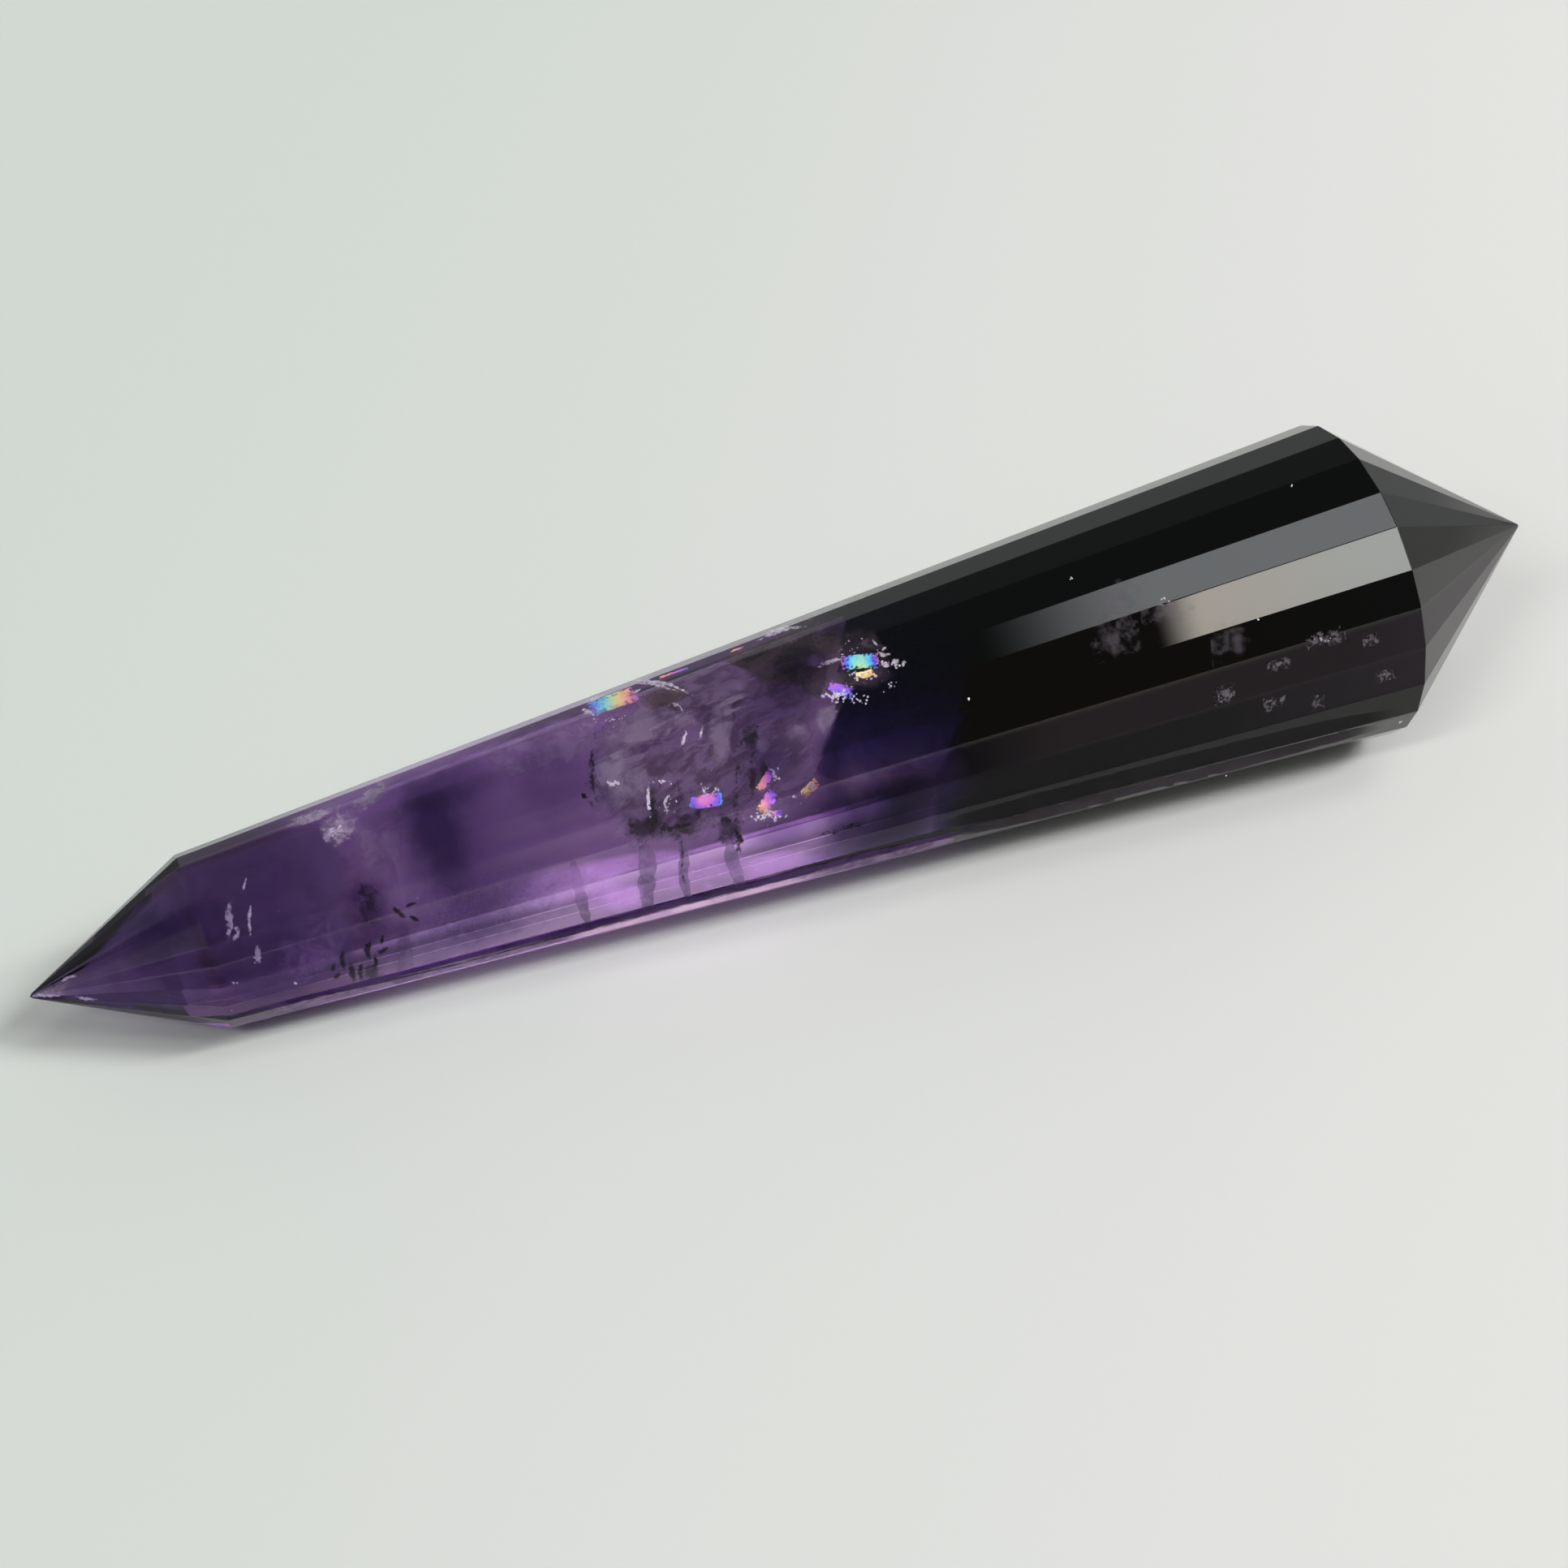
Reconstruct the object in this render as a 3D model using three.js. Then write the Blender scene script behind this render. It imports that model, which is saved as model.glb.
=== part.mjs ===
// A cut and polished amethyst wand: one solid of quartz with 24 long flat sides, wider at one end,
// ground to a pyramid point at both ends. It lies on one of its long facets.
// Units are millimetres, +Z is up, and +X runs along the wand towards its wide end.
import * as THREE from 'three';

// Driving dimensions

const FACETS = 24;
// from one shoulder to the other, along the axis
const BODY_LENGTH = 84;
// from the axis to the facets' edges, at each shoulder
const NARROW_RADIUS = 6.0;
const WIDE_RADIUS = 11.4;
// height of each pyramid point, from its shoulder to its tip
const NARROW_POINT = 11.7;
const WIDE_POINT = 13.9;

// The facets were ground by hand, so some edges stand a little off their even spacing. Edges are
// counted round the wand from the facet that it rests on. Each entry is an edge and its angle off, in degrees.
const UNEVEN_EDGES = new Map([
  [3, 0.8],
  [4, -0.5],
  [7, -0.9],
  [10, -0.3],
  [11, 0.4],
  [13, 1.2],
  [15, 0.9],
  [16, -1.1],
  [17, -1.2],
  [19, 0.7],
]);

// Look, taken from the photograph
const AMETHYST_COLOUR = 0x4a2f6b;
const POLISHED_ROUGHNESS = 0.05;

// Worked-out values

const FACET_ANGLE = (2 * Math.PI) / FACETS;
// the distance from the axis to a facet is this share of the distance to its edges
const FLAT_SHARE = Math.cos(FACET_ANGLE / 2);
// how far the axis rises from the narrow end to the wide end, when the facet below it lies level
const AXIS_TILT = Math.atan2((WIDE_RADIUS - NARROW_RADIUS) * FLAT_SHARE, BODY_LENGTH);

// The outline from tip to tip, as distance from the axis against height along it.
function wandProfile() {
  const half = BODY_LENGTH / 2;
  return [
    new THREE.Vector2(0, -half - NARROW_POINT),
    new THREE.Vector2(NARROW_RADIUS, -half),
    new THREE.Vector2(WIDE_RADIUS, half),
    new THREE.Vector2(0, half + WIDE_POINT),
  ];
}

// Turns each uneven edge about the lathe's axis by its own small angle. The two rings and both tips
// keep the same angles, so every facet stays flat.
function moveUnevenEdges(geometry, profileLength) {
  const position = geometry.getAttribute('position');
  const axis = new THREE.Vector3(0, 1, 0);
  const point = new THREE.Vector3();
  for (let i = 0; i < position.count; i += 1) {
    const edge = Math.floor(i / profileLength) % FACETS;
    const offset = THREE.MathUtils.degToRad(UNEVEN_EDGES.get(edge) ?? 0);
    point.fromBufferAttribute(position, i).applyAxisAngle(axis, offset);
    position.setXYZ(i, point.x, point.y, point.z);
  }
}

// Lays the turned body down: its axis goes from +Y to +X, and edge 0 comes half a facet past straight
// down, so that a facet faces the ground. Then the wide end is lifted until that facet is level.
function layDown(geometry) {
  const straightDown = Math.PI / 2;
  geometry.rotateY(straightDown + FACET_ANGLE / 2);
  geometry.rotateZ(-Math.PI / 2);
  geometry.rotateX(Math.PI / 2);
  geometry.rotateY(-AXIS_TILT);
}

// Puts the origin under the middle of the bounding box, level with the resting facet.
function standOnOrigin(geometry) {
  geometry.computeBoundingBox();
  const box = geometry.boundingBox;
  const middle = box.getCenter(new THREE.Vector3());
  geometry.translate(-middle.x, -middle.y, -box.min.z);
}

function crystalGeometry() {
  const profile = wandProfile();
  const geometry = new THREE.LatheGeometry(profile, FACETS);
  moveUnevenEdges(geometry, profile.length);
  layDown(geometry);
  standOnOrigin(geometry);
  return geometry;
}

function polishedAmethyst() {
  return new THREE.MeshStandardMaterial({
    color: AMETHYST_COLOUR,
    roughness: POLISHED_ROUGHNESS,
    metalness: 0,
    flatShading: true,
  });
}

const crystal = new THREE.Mesh(crystalGeometry(), polishedAmethyst());
crystal.name = 'crystal';

const wand = new THREE.Group();
wand.add(crystal);

export default wand;
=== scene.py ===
# %% [markdown]
# # A polished amethyst wand
# The real object is one piece of purple quartz, ground into a long tapered body of 24 flat facets with a
# pyramid point at each end. It is clear lilac to deep purple towards its narrow end and nearly black
# towards its wide end. The lesson starts from the measured solid, and everything after it is worked out
# from that solid's own corners, so that nothing has to be fitted by eye.

# %% Load the frame
import bpy
import numpy as np
from mathutils import Matrix


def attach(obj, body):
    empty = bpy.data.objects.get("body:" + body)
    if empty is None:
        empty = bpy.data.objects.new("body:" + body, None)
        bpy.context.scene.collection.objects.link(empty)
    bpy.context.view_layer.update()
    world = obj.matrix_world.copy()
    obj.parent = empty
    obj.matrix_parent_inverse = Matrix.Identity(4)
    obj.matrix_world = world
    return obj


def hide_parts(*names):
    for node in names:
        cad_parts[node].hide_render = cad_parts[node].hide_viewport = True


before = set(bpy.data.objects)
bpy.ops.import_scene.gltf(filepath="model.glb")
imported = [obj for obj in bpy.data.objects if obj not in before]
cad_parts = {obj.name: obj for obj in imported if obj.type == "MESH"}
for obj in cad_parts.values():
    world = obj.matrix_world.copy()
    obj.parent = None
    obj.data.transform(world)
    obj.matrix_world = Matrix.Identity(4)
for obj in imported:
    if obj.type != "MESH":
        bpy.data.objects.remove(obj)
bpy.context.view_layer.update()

MM = 0.001


# %% [markdown]
# ## The corners of the cut
# A cut stone is fully given by its corners: two tips, and a ring of 24 corners at each shoulder. They
# could be typed in again, but reading them from the solid keeps the two models the same for good. The
# rings are sorted by their angle round the wand, counted from the facet that it rests on.

# %% Read the corners from the solid
TIP_SHARE = 0.01             # a corner closer to an end than this share of the length is the tip itself


def distinct_corners(mesh):
    """The mesh's vertices with doubles dropped, to a ten-thousandth of a millimetre."""
    flat = np.empty(len(mesh.vertices) * 3)
    mesh.vertices.foreach_get("co", flat)
    return np.unique(np.round(flat.reshape(-1, 3), 7), axis=0)


def unit(vectors):
    """Vectors divided by their own lengths."""
    return vectors / np.linalg.norm(vectors, axis=-1, keepdims=True)


corners = distinct_corners(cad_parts["crystal"].data)
narrow_tip = corners[corners[:, 0].argmin()]
wide_tip = corners[corners[:, 0].argmax()]
AXIS = unit(wide_tip - narrow_tip)
UP = unit(np.array((0, 0, 1)) - AXIS[2] * AXIS)
AWAY = np.cross(UP, AXIS)
along = (corners - narrow_tip) @ AXIS
length = np.linalg.norm(wide_tip - narrow_tip)


def ring_of(chosen):
    """Corners sorted by their angle round the axis, from straight down through the far side to the top."""
    ring = corners[chosen]
    turn = np.arctan2((ring - narrow_tip) @ UP, (ring - narrow_tip) @ AWAY) + np.pi / 2
    return ring[np.argsort(turn % (2 * np.pi))]


narrow_ring = ring_of((along > length * TIP_SHARE) & (along < length / 2))
wide_ring = ring_of((along > length / 2) & (along < length * (1 - TIP_SHARE)))
FACETS = len(narrow_ring)
print(f"{FACETS} facets, {length / MM:.1f} mm from tip to tip")

# %% [markdown]
# ## The camera
# The photograph was taken from above and a little to the left of the wand, from close by. A long lens at
# a short distance gives the same convergence of the edges. The camera is placed by its distance, its
# height above the surface in degrees, its turn about the wand and a slight roll.

# %% Place the camera
IMAGE_SIDE = 1932            # pixels, the photograph is square
FOCAL_PIXELS = 4200          # from the convergence of the long edges
SENSOR = 36                  # mm
CAMERA_RISE = np.radians(38.55)
CAMERA_TURN = np.radians(19.41)
CAMERA_ROLL = np.radians(-2.43)
CAMERA_DISTANCE = 238.3 * MM
AIM_RIGHT = -2.18 * MM       # where the camera aims, beside and above the frame's origin
AIM_UP = 4.39 * MM

forward = np.array((np.sin(CAMERA_TURN) * np.cos(CAMERA_RISE),
                    np.cos(CAMERA_TURN) * np.cos(CAMERA_RISE),
                    -np.sin(CAMERA_RISE)))
level_right = np.array((np.cos(CAMERA_TURN), -np.sin(CAMERA_TURN), 0))
level_up = np.cross(level_right, forward)
right = np.cos(CAMERA_ROLL) * level_right + np.sin(CAMERA_ROLL) * level_up
top = np.cos(CAMERA_ROLL) * level_up - np.sin(CAMERA_ROLL) * level_right
eye = -CAMERA_DISTANCE * forward + AIM_RIGHT * right + AIM_UP * top

lens = bpy.data.cameras.new("camera")
lens.sensor_width = SENSOR
lens.lens = SENSOR * FOCAL_PIXELS / IMAGE_SIDE
lens.clip_start = 10 * MM
camera = bpy.data.objects.new("camera", lens)
camera.matrix_world = Matrix((
    (right[0], top[0], -forward[0], eye[0]),
    (right[1], top[1], -forward[1], eye[1]),
    (right[2], top[2], -forward[2], eye[2]),
    (0, 0, 0, 1)))
bpy.context.scene.collection.objects.link(camera)
bpy.context.scene.camera = camera
print(f"lens {lens.lens:.1f} mm at {CAMERA_DISTANCE / MM:.0f} mm")

# %% [markdown]
# ## Small helpers
# Colours are written as the sRGB hex values that one reads off a swatch, and one function turns them to
# the linear numbers that the shaders use. One more adds any kind of node with its settings and links.
# Shapes are kept as bodies: an array of points, an array of quads and an array of triangles. Several
# bodies go into one mesh, so that a hundred crumbs are one object.

# %% Helpers for colours and nodes
SMOOTH = {"interpolation_type": "SMOOTHSTEP"}


def colour(code):
    """A linear colour with alpha from an sRGB hex code such as 8a6fb0."""
    channels = np.array([int(code[i:i + 2], 16) for i in (0, 2, 4)]) / 255
    linear = np.where(channels <= 0.04045, channels / 12.92, ((channels + 0.055) / 1.055) ** 2.4)
    return (*linear, 1.0)


def add_node(tree, kind, *values, **named):
    """Adds a node of a kind such as Mix, or Math.ADD with its operation. values fill its sockets from the
    first on. named are its properties, and, with a capital letter, its sockets by name with _ for a blank or
    by number as In_6. A socket is given a value, an output socket, or a node, whose first output in use
    feeds it."""
    kind, _, operation = kind.partition(".")
    node = tree.nodes.new("ShaderNode" + kind)
    if operation:
        node.operation = operation
    feeds = dict(enumerate(values))
    for name, value in named.items():
        if name[0].islower():
            setattr(node, name, value)
        else:
            feeds[int(name[3:]) if name.startswith("In_") else name.replace("_", " ")] = value
    for key, value in feeds.items():
        socket = node.inputs[key]
        if isinstance(value, bpy.types.Node):
            value = next(output for output in value.outputs if output.enabled)
        if isinstance(value, bpy.types.NodeSocket):
            tree.links.new(value, socket)
        else:
            socket.default_value = value
    return node


def colour_step(tree, value, start, end, first, second, way="MIX"):
    """A colour that goes from the first to the second, or to their product for way MULTIPLY, by a smooth step
    of value from start to end. Both are given as a hex code or as the node that makes them."""
    first, second = (colour(c) if isinstance(c, str) else c for c in (first, second))
    share = add_node(tree, "MapRange", value, start, end, **SMOOTH)
    return add_node(tree, "Mix", share, In_6=first, In_7=second, data_type="RGBA", blend_type=way)


def new_material(name):
    """An empty node material and its tree."""
    material = bpy.data.materials.new(name)
    material.use_nodes = True
    material.node_tree.nodes.clear()
    return material, material.node_tree


# %% Helpers for meshes
NO_FACES = np.empty((0, 3), int)


def new_mesh_object(name, bodies, material, smooth=True, uv=None):
    """A mesh object at the origin from bodies. Each body's faces count on from the points before it."""
    counts = [len(points) for points, _, _ in bodies]
    firsts = np.cumsum([0] + counts[:-1])
    points = np.concatenate([body[0] for body in bodies])
    faces = []
    for first, (_, quads, triangles) in zip(firsts, bodies):
        faces += (quads + first).tolist() + (triangles + first).tolist()
    mesh = bpy.data.meshes.new(name)
    mesh.from_pydata(points.tolist(), [], faces)
    mesh.materials.append(material)
    mesh.polygons.foreach_set("use_smooth", np.full(len(mesh.polygons), smooth))
    if uv is not None:
        corner_points = np.empty(len(mesh.loops), int)
        mesh.loops.foreach_get("vertex_index", corner_points)
        mesh.uv_layers.new(name="UVMap").data.foreach_set("uv", uv[corner_points].ravel())
    mesh.validate()
    thing = bpy.data.objects.new(name, mesh)
    bpy.context.scene.collection.objects.link(thing)
    print(f"{name}: {len(bodies)} bodies, {len(mesh.polygons)} faces")
    return thing


def place_in_stone(piece):
    """Every piece of the wand rides on its one body."""
    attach(piece, "root")


def closed_body(rings, start, end):
    """A body from an array of rings and the two points that close it. The rings' points go round the way
    from start to end by the right-hand rule, so the faces point outwards."""
    rows, columns = rings.shape[:2]
    k = np.arange(rows - 1)[:, None] * columns
    i = np.arange(columns)[None, :]
    j = (i + 1) % columns
    quads = np.stack((k + i, k + j, k + columns + j, k + columns + i), axis=-1).reshape(-1, 4)
    first, last = rows * columns, rows * columns + 1
    end_row = (rows - 1) * columns
    lower = np.stack((np.full(columns, first), j[0], i[0]), axis=-1)
    upper = np.stack((np.full(columns, last), end_row + i[0], end_row + j[0]), axis=-1)
    points = np.concatenate((rings.reshape(-1, 3), start[None], end[None]))
    return points, quads, np.concatenate((lower, upper))


# %% [markdown]
# ## The surface that it lies on
# The wand lies on plain pale paper with no edge in sight. One very large flat sheet gives that, because
# its far edge is below the light of the wall behind. The windows stand on the right, so the paper is a
# little darker and greener towards the left and the back. That slow change is painted shade in its colour.

# %% Floor
FLOOR_HALF = 6.0             # metres
TONE_REACH = 90 * MM         # the paper's tone changes over about this far to each side of the wand
TONE_LEAN = -0.6             # how much the change leans from left to right towards the back
FADE_REACH = (150 * MM, 450 * MM)     # and out of the picture it turns to the greyer table
PAPER_FIBRE = 0.4 * MM
PAPER_RELIEF = 0.004 * MM
# Uncoated paper, pressed and dried: its fibres leave it matt, with a grain that only just shows.
material, tree = new_material("matt_white_paper")
place = add_node(tree, "TexCoord").outputs["Object"]
to_right, to_back, _ = add_node(tree, "SeparateXYZ", place).outputs
lean = add_node(tree, "Math.MULTIPLY_ADD", to_back, TONE_LEAN, to_right)
# Painted shade: the paper's colour is darker and greener to the left and the back, where less window light
# falls.
sheet_colour = colour_step(tree, lean, -TONE_REACH, TONE_REACH, "e6ede7", "fbfaf8")
from_wand = add_node(tree, "VectorMath.LENGTH", place)
sheet_colour = colour_step(tree, from_wand, *FADE_REACH, sheet_colour, "b4b6b4")
grain = add_node(tree, "TexNoise", place, Scale=1 / PAPER_FIBRE, Detail=3)
press = add_node(tree, "Bump", Height=grain, Distance=PAPER_RELIEF)
paper = add_node(tree, "BsdfPrincipled", Base_Color=sheet_colour, Roughness=0.9, Normal=press,
                 Specular_IOR_Level=0.2)
add_node(tree, "OutputMaterial", paper)
floor_points = FLOOR_HALF * np.array(((-1, -1, 0), (1, -1, 0), (1, 1, 0), (-1, 1, 0)))
floor = new_mesh_object("floor", [(floor_points, np.array([(0, 1, 2, 3)]), NO_FACES)], material, smooth=False)

# %% [markdown]
# ## The light
# A polished stone shows its surroundings, and its shadow tells where the light stands. Here a window and a
# lamp stand high on the right and a weaker lamp on the left, in a dim room with pale walls. Lamp objects
# would do for the shadow, but the facets would mirror nothing. So the whole room is worked out as light by
# direction: how high a direction stands above the camera's side, and how far it turns to the right.

# %% World
ROOM_GLOW = 0.11             # the dim walls and ceiling, where paper in full light is about 0.8
BACK_WALL_GLOW = 0.35
RIGHT_WALL_GLOW = 0.12
LIGHTS = (
    # name, lower and upper edge in degrees from the front, softness of both, where along the right hand
    # direction it starts and where it ends, and the light at its left and at its right end
    ("large_window", 46.5, 59.0, 3, (0.163, 0.178), (0.46, 0.52), (8.0, 7.2)),
    ("far_window", 51.0, 62.0, 3, (0.46, 0.52), (0.88, 0.95), (5.0, 3.0)),
    ("right_lamp", 58.5, 66.0, 2, (0.36, 0.44), (0.76, 0.82), (20.0, 22.0)),
    ("small_window", 73.0, 87.0, 4, (0.105, 0.160), (0.45, 0.60), (3.2, 3.7)),
    ("left_lamp", 53.5, 61.0, 2, (-0.78, -0.70), (-0.46, -0.38), (16.0, 14.0)),
    ("left_wall", 22.0, 47.0, 4, (-0.98, -0.90), (-0.50, -0.40), (0.8, 0.8)),
    ("left_ceiling", 100, 158, 10, (-0.98, -0.90), (-0.25, 0.00), (0.15, 0.15)),
    ("right_ceiling", 104, 158, 10, (0.48, 0.60), (0.90, 0.97), (0.20, 0.20)),
)
world = bpy.data.worlds.new("studio")
bpy.context.scene.world = world
world.use_nodes = True
tree = world.node_tree
tree.nodes.clear()


def product_of_steps(tree, *steps):
    """The product of smooth steps. Each is given by a value, where its step begins and ends, and, unless they
    are 0 and 1, its levels before and after."""
    product = 1.0
    for step in steps:
        product = add_node(tree, "Math.MULTIPLY", product, add_node(tree, "MapRange", *step, **SMOOTH))
    return product


place = add_node(tree, "TexCoord").outputs["Generated"]
to_right, to_back, to_top = add_node(tree, "SeparateXYZ", place).outputs
height = add_node(tree, "Math.ARCTAN2", to_top, add_node(tree, "Math.MULTIPLY", to_back, -1.0))
back_wall = product_of_steps(tree, (to_top, 0.80, 0.15), (to_back, -0.6, 0.3),
                             (to_right, -0.40, -0.10, 0.2, 1.0))
right_wall = product_of_steps(tree, (to_top, 0.70, 0.40), (to_right, 0.50, 0.95))
total = add_node(tree, "Math.MULTIPLY_ADD", back_wall, BACK_WALL_GLOW - ROOM_GLOW, ROOM_GLOW)
total = add_node(tree, "Math.MULTIPLY_ADD", right_wall, RIGHT_WALL_GLOW, total)
for name, lower, upper, soft, left_edge, right_edge, lights in LIGHTS:
    lower, upper, soft = np.radians((lower, upper, soft))
    pane = product_of_steps(tree, (height, lower - soft, lower + soft), (height, upper + soft, upper - soft),
                            (to_right, *left_edge), (to_right, *reversed(right_edge)))
    light = add_node(tree, "MapRange", to_right, left_edge[1], right_edge[0], *lights, **SMOOTH)
    total = add_node(tree, "Math.MULTIPLY_ADD", pane, light, total)
background = add_node(tree, "Background", Color=colour("fbfbfa"), Strength=total)
add_node(tree, "OutputWorld", background)
bpy.context.scene.view_settings.view_transform = "Standard"
print("lights and walls:", ", ".join(name for name, *_ in LIGHTS))

# %% [markdown]
# ## The polished body
# The real surface is flat facets that meet in crisp edges, each with a hair-fine rounding from the
# polishing. A bevel modifier could round them, but here the whole surface is one grid of rows along the
# wand and columns round it, so the rounding is worked out with the rest. Exact facet normals are stored
# at the points, so that each facet mirrors like a flat pane.

# %% The facets' directions
def facet_directions():
    """Outward unit normals of the facets, 24 each of the narrow point, the body and the wide point. Each is
    the cross product of two sides of its facet."""
    next_narrow = np.roll(narrow_ring, -1, axis=0)
    next_wide = np.roll(wide_ring, -1, axis=0)
    lower = np.cross(narrow_ring - narrow_tip, next_narrow - narrow_tip)
    middle = np.cross(wide_ring - narrow_ring, next_narrow - narrow_ring)
    upper = np.cross(next_wide - wide_tip, wide_ring - wide_tip)
    flat = unit(np.stack((lower, middle, upper)))
    from_centre = np.stack((narrow_ring, narrow_ring, wide_ring)) - (narrow_tip + wide_tip) / 2
    return flat * np.sign((flat * from_centre).sum(2, keepdims=True))


facet_normals = facet_directions()

# %% The stone's surface
EDGE_WIDTH = 0.06 * MM       # the rounding along each edge
EDGE_SHARE = 0.3             # but never more than this share of the facet's width
TIP_BLUNT = (0.030, 0.012)   # how much of each point is worn away, narrow end first, as a share of its height


def rounded_body(edge_width, tip_blunt):
    """Points and normals of the cut stone with every edge rounded by a quadratic curve. The two parameters
    run round the wand and along it. Each edge has three columns: on the facet before it, on its curve and on
    the facet after it. Each shoulder has three rows in the same way."""
    lattice = np.stack((
        narrow_tip + (narrow_ring - narrow_tip) * tip_blunt[0],
        narrow_ring,
        wide_ring,
        wide_tip + (wide_ring - wide_tip) * tip_blunt[1]))
    towards_last = np.roll(lattice, 1, axis=1) - lattice
    towards_next = np.roll(lattice, -1, axis=1) - lattice
    step = np.minimum(edge_width, EDGE_SHARE * np.linalg.norm(towards_next, axis=2, keepdims=True))
    before = lattice + unit(towards_last) * step
    after = lattice + unit(towards_next) * step
    curve = before / 4 + lattice / 2 + after / 4
    columns = np.stack((before, curve, after), axis=2).reshape(4, -1, 3)
    normals_before = np.roll(facet_normals, 1, axis=1)
    normals = np.stack((normals_before, unit(normals_before + facet_normals), facet_normals), axis=2)
    normals = normals.reshape(3, -1, 3)
    rows = [columns[0]]
    row_normals = [normals[0]]
    for k in (1, 2):
        down = columns[k] + unit(columns[k - 1] - columns[k]) * edge_width
        up = columns[k] + unit(columns[k + 1] - columns[k]) * edge_width
        rows += [down, down / 4 + columns[k] / 2 + up / 4, up]
        row_normals += [normals[k - 1], unit(normals[k - 1] + normals[k]), normals[k]]
    rows.append(columns[3])
    row_normals.append(normals[2])
    return np.stack(rows), np.stack(row_normals)


body_points, body_normals = rounded_body(EDGE_WIDTH, TIP_BLUNT)
narrow_end = (narrow_tip + body_points[0].mean(axis=0)) / 2
wide_end = (wide_tip + body_points[-1].mean(axis=0)) / 2

# %% [markdown]
# ## Looking into the stone
# Everything else is inside: clouds and zones of deeper colour, a healed crack, channels, flakes and dust.
# In the photograph they are seen through facets that bend the view. So a place inside is found the way a gem
# cutter would: follow the line of sight through a pixel to its facet, bend it by the law of refraction,
# and go on as deep as the thing lies.

# %% Where a pixel looks
QUARTZ_IOR = 1.544
DEEPEST = 0.9                # as a share of the way through the stone
planes = facet_normals.reshape(-1, 3)
plane_offsets = (planes * np.concatenate((narrow_ring, narrow_ring, wide_ring))).sum(1)


def bend(ways, normals):
    """The directions of light after it enters the quartz, by the law of refraction."""
    cosine = -(ways * normals).sum(-1, keepdims=True)
    inner = np.sqrt(1 - (1 - cosine ** 2) / QUARTZ_IOR ** 2)
    return ways / QUARTZ_IOR + (cosine / QUARTZ_IOR - inner) * normals


def look(pixels):
    """For pixels of the photograph: the points where their lines of sight meet the stone, the facets'
    normals, the bent directions inside, and how far each runs to the facet where it leaves. The stone is
    convex, so a line enters at its last facet plane ahead and leaves at its first."""
    pixels = np.atleast_2d(np.array(pixels, float)) - IMAGE_SIDE / 2
    ways = unit(forward * FOCAL_PIXELS + pixels[:, :1] * right - pixels[:, 1:] * top)
    rate = ways @ planes.T
    reach = (plane_offsets - planes @ eye) / rate
    facing = np.where(rate < 0, reach, -np.inf)
    normals = planes[facing.argmax(1)]
    fronts = eye + facing.max(1)[:, None] * ways
    bent = bend(ways, normals)
    rate = bent @ planes.T
    runs = np.where(rate > 1e-6, (plane_offsets - fronts @ planes.T) / rate, np.inf).min(1)
    return fronts, normals, bent, runs


def seen_inside(pixels, deep):
    """Points so many metres deep behind the facets, but never deeper than the share DEEPEST of the way. A
    negative depth lies over the surface."""
    fronts, _, bent, runs = look(pixels)
    return fronts + np.minimum(deep, DEEPEST * runs)[:, None] * bent


def station(points):
    """How far points lie along the axis from the narrow tip."""
    return (points - narrow_tip) @ AXIS


print("the glow is seen through", np.round(look([(880, 1060)])[3] / MM, 1), "mm of stone")

# %% [markdown]
# ## Polished amethyst
# Quartz has an index of 1.544 and a mirror polish. Light that crosses the stone loses its green most and
# its blue least, which an absorption by volume gives: thick parts are deeper in colour than thin ones. The
# wide end lets no light through at all, so there the surface takes the light that enters it. Softer clouds
# of colour are tints of the surface too, each by its distance from a place just under the facets. They
# could be volumes, but most viewers of the exported model leave out a body inside another.

# %% Clouds of colour
CLOUD_DEPTH = 1 * MM
CLOUD_REACH = 6              # half size along the line of sight, in millimetres
TINTS = (
    # pixel of its middle, half sizes in millimetres along the wand and across it, and its colour
    ((590, 1040), (8.5, 10), "a7a0ba"),
    ((545, 1040), (5.5, 9), "a7a0ba"),
    ((541, 1028), (3.0, 5.2), "5f567b"),
    ((500, 985), (6, 3.5), "bab4c9"),
    ((560, 965), (5, 3.0), "aea7bf"),
    ((690, 960), (4.5, 5.0), "a7a0ba"),
    ((470, 1160), (4.5, 2.6), "958dab"),
    ((560, 1160), (7, 2.6), "a7a0ba"),
    ((452, 1112), (2.2, 2.6), "8980a0"),
    ((310, 1180), (6, 2.8), "c8c3d5"),
    ((190, 1160), (3.0, 2.6), "a7a0ba"),
    ((240, 1140), (4.5, 2.2), "b0aac1"),
    ((960, 872), (3.4, 2.2), "a7a0ba"),
    ((948, 935), (2.4, 2.4), "958dab"),
    ((1020, 940), (1.6, 3.0), "8980a0"),
    ((1030, 1000), (2.6, 4.4), "655b80"),
    ((1085, 1000), (5.0, 5.0), "443b60"),
    ((1125, 990), (4.5, 5.0), "4f466b"),
    ((1120, 985), (9, 7), "8980a0"),
    ((1000, 985), (2.6, 1.8), "a29ab5"),
    ((985, 820), (3.4, 2.6), "8980a0"),
    ((1110, 1032), (8, 2.8), "8980a0"),
    ((1032, 775), (2.4, 2.6), "6f668a"),
    ((960, 1028), (3.6, 1.8), "958dab"),
    ((1036, 1046), (4.0, 2.0), "b8b0c8"),
)


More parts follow.
